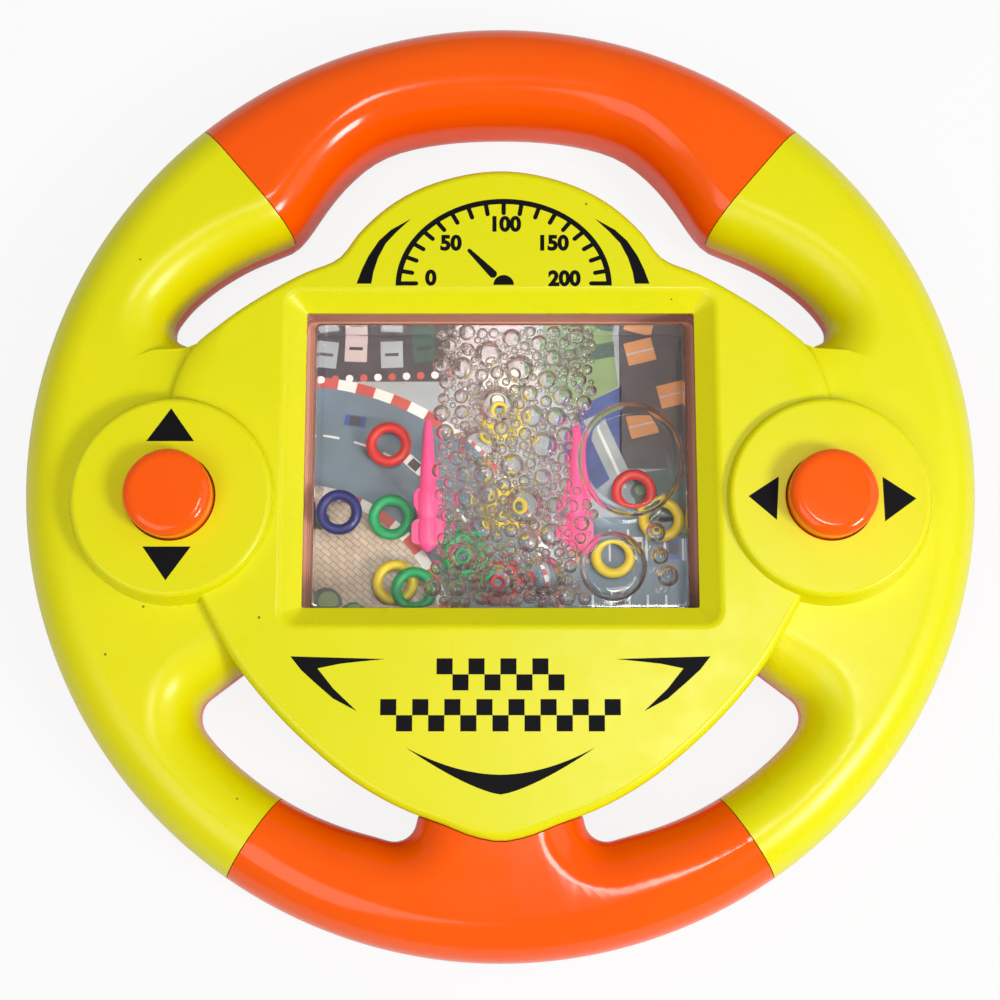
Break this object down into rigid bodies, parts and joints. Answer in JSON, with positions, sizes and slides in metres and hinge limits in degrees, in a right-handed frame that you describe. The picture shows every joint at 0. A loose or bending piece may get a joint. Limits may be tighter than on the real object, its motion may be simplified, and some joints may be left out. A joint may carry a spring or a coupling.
{
  "type": "handheld water game",
  "caption": "Steering-wheel-shaped handheld water game: thumb buttons pump air into a clear tank to toss small rings over pegs.",
  "frame": {"origin": "centre of the wheel, on the flat back face that it rests on", "axes": "+X to the player's right, +Y to the top of the wheel, +Z out of the window to the player"},
  "size_m": [0.15, 0.15, 0.029],
  "materials": {
    "yellow_abs": "moulded, glossy",
    "orange_abs": "moulded, glossy",
    "clear_styrene": "clear, polished",
    "screw_steel": "zinc plated",
    "printed_card": "printed picture",
    "soft_vinyl": "soft, milky",
    "white_polythene": "matt, milky",
    "pink_plastic": "moulded, glossy",
    "red_plastic": "moulded, glossy",
    "green_plastic": "moulded, glossy",
    "ring_yellow_plastic": "moulded, glossy",
    "navy_plastic": "moulded, glossy"
  },
  "bodies": {
    "case": {"rear_shell": "orange_abs", "front_shell": "yellow_abs", "top_grip_cover": "orange_abs", "bottom_grip_cover": "orange_abs", "case_screws": "screw_steel", "tank_body": "clear_styrene", "tank_back": "clear_styrene", "picture_card": "printed_card", "left_peg": "pink_plastic", "right_peg": "pink_plastic", "left_jet": "clear_styrene", "right_jet": "clear_styrene", "left_air_tube": "soft_vinyl", "right_air_tube": "soft_vinyl", "left_pump_cup": "white_polythene", "right_pump_cup": "white_polythene", "left_bellows": "soft_vinyl", "right_bellows": "soft_vinyl"},
    "left_button": {"left_button": "orange_abs"},
    "right_button": {"right_button": "orange_abs"},
    "filler_plug": {"filler_plug": "soft_vinyl"},
    "red_ring_1": {"red_ring_1": "red_plastic"},
    "red_ring_2": {"red_ring_2": "red_plastic"},
    "red_ring_3": {"red_ring_3": "red_plastic"},
    "green_ring_1": {"green_ring_1": "green_plastic"},
    "green_ring_2": {"green_ring_2": "green_plastic"},
    "green_ring_3": {"green_ring_3": "green_plastic"},
    "yellow_ring_1": {"yellow_ring_1": "ring_yellow_plastic"},
    "yellow_ring_2": {"yellow_ring_2": "ring_yellow_plastic"},
    "yellow_ring_3": {"yellow_ring_3": "ring_yellow_plastic"},
    "yellow_ring_4": {"yellow_ring_4": "ring_yellow_plastic"},
    "yellow_ring_5": {"yellow_ring_5": "ring_yellow_plastic"},
    "navy_ring": {"navy_ring": "navy_plastic"}
  },
  "joints": [
    {"name": "left_button_press", "type": "slide", "parent": "case", "child": "left_button", "axis": [0, 0, -1], "range_m": [0, 0.004], "stiffness_N_per_m": 400, "springref_m": -0.001, "deforming": ["left_bellows"]},
    {"name": "right_button_press", "type": "slide", "parent": "case", "child": "right_button", "axis": [0, 0, -1], "range_m": [0, 0.004], "stiffness_N_per_m": 400, "springref_m": -0.001, "deforming": ["right_bellows"]},
    {"name": "filler_plug_pull", "type": "slide", "parent": "case", "child": "filler_plug", "axis": [0, 0, -1], "range_m": [0, 0.012]},
    {"name": "red_ring_1_drift", "type": "slide", "parent": "case", "child": "red_ring_1", "axis": [0, 1, 0], "range_m": [0, 0.014]},
    {"name": "red_ring_2_drift", "type": "slide", "parent": "case", "child": "red_ring_2", "axis": [0, 1, 0], "range_m": [0, 0.0042]},
    {"name": "red_ring_3_drift", "type": "slide", "parent": "case", "child": "red_ring_3", "axis": [0, 1, 0], "range_m": [0, 0.021]},
    {"name": "green_ring_1_drift", "type": "slide", "parent": "case", "child": "green_ring_1", "axis": [0, 1, 0], "range_m": [0, 0.004]},
    {"name": "green_ring_2_drift", "type": "slide", "parent": "case", "child": "green_ring_2", "axis": [-1, 0, 0], "range_m": [0, 0.0115]},
    {"name": "green_ring_3_drift", "type": "slide", "parent": "case", "child": "green_ring_3", "axis": [0, 1, 0], "range_m": [0, 0.0155]},
    {"name": "yellow_ring_1_drift", "type": "slide", "parent": "case", "child": "yellow_ring_1", "axis": [-1, 0, 0], "range_m": [0, 0.0085]},
    {"name": "yellow_ring_2_drift", "type": "slide", "parent": "case", "child": "yellow_ring_2", "axis": [0, 1, 0], "range_m": [0, 0.0065]},
    {"name": "yellow_ring_3_drift", "type": "slide", "parent": "case", "child": "yellow_ring_3", "axis": [0, 1, 0], "range_m": [0, 0.0095]},
    {"name": "yellow_ring_4_drift", "type": "slide", "parent": "case", "child": "yellow_ring_4", "axis": [-1, 0, 0], "range_m": [0, 0.0055]},
    {"name": "yellow_ring_5_drift", "type": "slide", "parent": "case", "child": "yellow_ring_5", "axis": [0, -1, 0], "range_m": [0, 0.0105]},
    {"name": "navy_ring_drift", "type": "slide", "parent": "case", "child": "navy_ring", "axis": [0, 1, 0], "range_m": [0, 0.025]}
  ]
}
